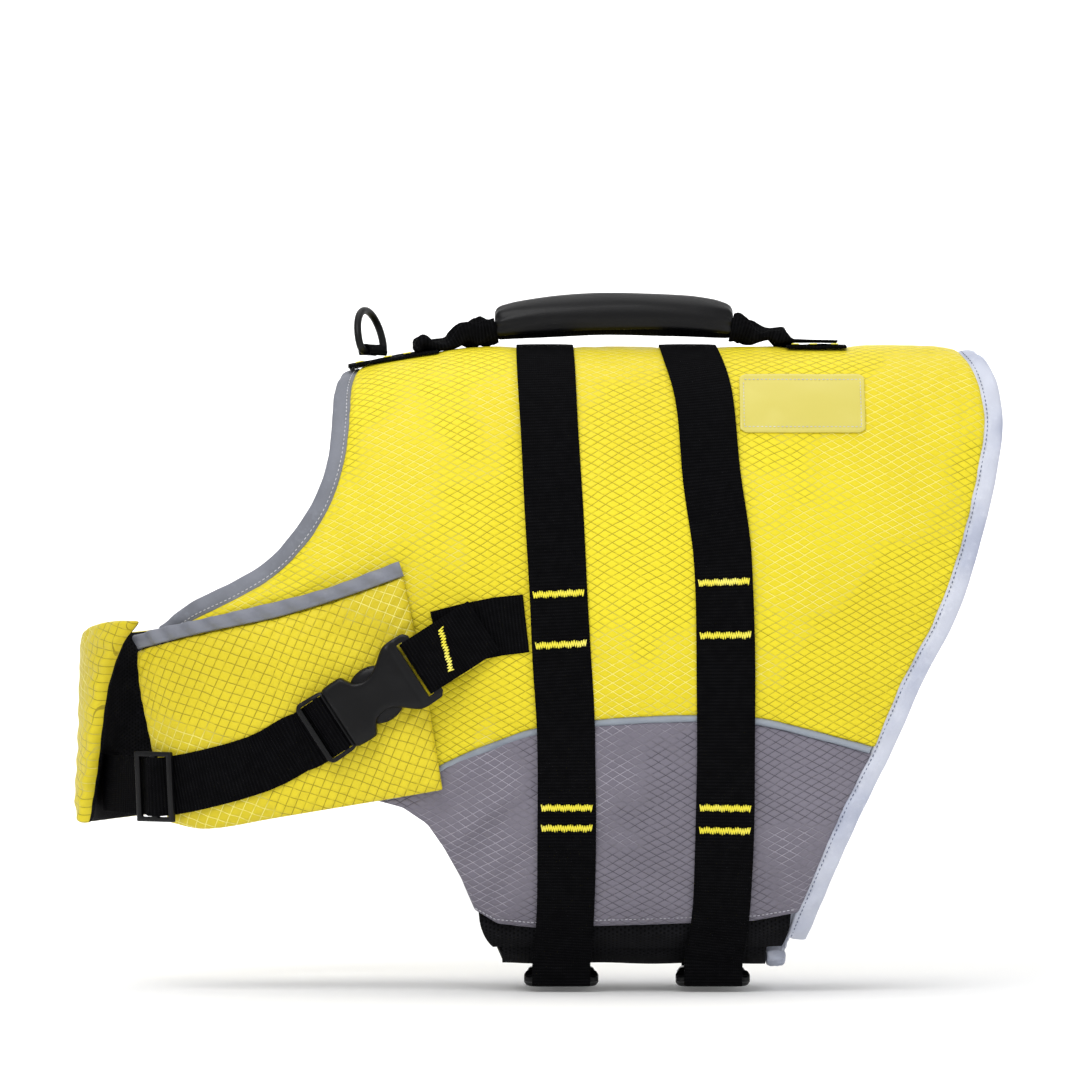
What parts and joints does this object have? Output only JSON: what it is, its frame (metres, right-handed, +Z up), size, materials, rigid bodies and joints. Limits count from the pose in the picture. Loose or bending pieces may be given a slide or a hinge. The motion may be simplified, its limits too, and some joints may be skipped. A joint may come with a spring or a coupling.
{
  "type": "dog life jacket",
  "caption": "Dog life jacket with a foam-filled back, lifting handle, padded chest closure, mesh belly and buckled webbing straps.",
  "frame": {"origin": "on the inner face of the back, over the wearer's spine, midway between the two belly straps", "axes": "+X from the neck to the tail, +Y towards the wearer's right side, +Z up"},
  "size_m": [0.6113, 0.2318, 0.4596],
  "materials": {
    "yellow_ripstop": "coated yellow ripstop with a diamond grid",
    "grey_ripstop": "mid grey ripstop with a diamond grid",
    "grey_binding": "soft grey binding tape",
    "piping": "pale blue-grey piping",
    "reflective_binding": "silver reflective tape",
    "black_mesh": "black spacer mesh",
    "black_webbing": "black ribbed webbing",
    "black_plastic": "black moulded plastic, half gloss",
    "plain_patch": "thin plain translucent patch"
  },
  "bodies": {
    "jacket": {"back_panel_left": "yellow_ripstop", "back_panel_right": "yellow_ripstop", "chest_flap": "yellow_ripstop", "chest_wing": "yellow_ripstop", "side_panel_left": "grey_ripstop", "side_panel_right": "grey_ripstop", "neck_binding": "grey_binding", "flap_binding": "grey_binding", "piping_left": "piping", "piping_right": "piping", "tail_binding": "reflective_binding", "belly_binding": "reflective_binding", "belly_panel_left": "black_mesh", "belly_panel_right": "black_mesh", "belly_strap_front": "black_webbing", "belly_strap_rear": "black_webbing", "chest_anchor": "black_webbing", "chest_loop": "black_webbing", "chest_strap": "black_webbing", "spine_strip": "black_webbing", "ring_loop": "black_webbing", "handle_grip": "black_webbing", "handle_web_front": "black_webbing", "handle_web_rear": "black_webbing", "spine_patch": "black_webbing", "belly_buckle_front_female": "black_plastic", "belly_buckle_front_male": "black_plastic", "belly_buckle_rear_female": "black_plastic", "belly_buckle_rear_male": "black_plastic", "chest_buckle_female": "black_plastic", "chest_buckle_male": "black_plastic", "chest_slider": "black_plastic", "plain_patch": "plain_patch"},
    "ring": {"d_ring": "black_plastic"}
  },
  "joints": [
    {"name": "ring_hinge", "type": "hinge", "parent": "jacket", "child": "ring", "pos_m": [-0.168, 0, 0.00955], "axis": [0.4067, 0.9135, 0], "range_deg": [-60, 62]}
  ]
}
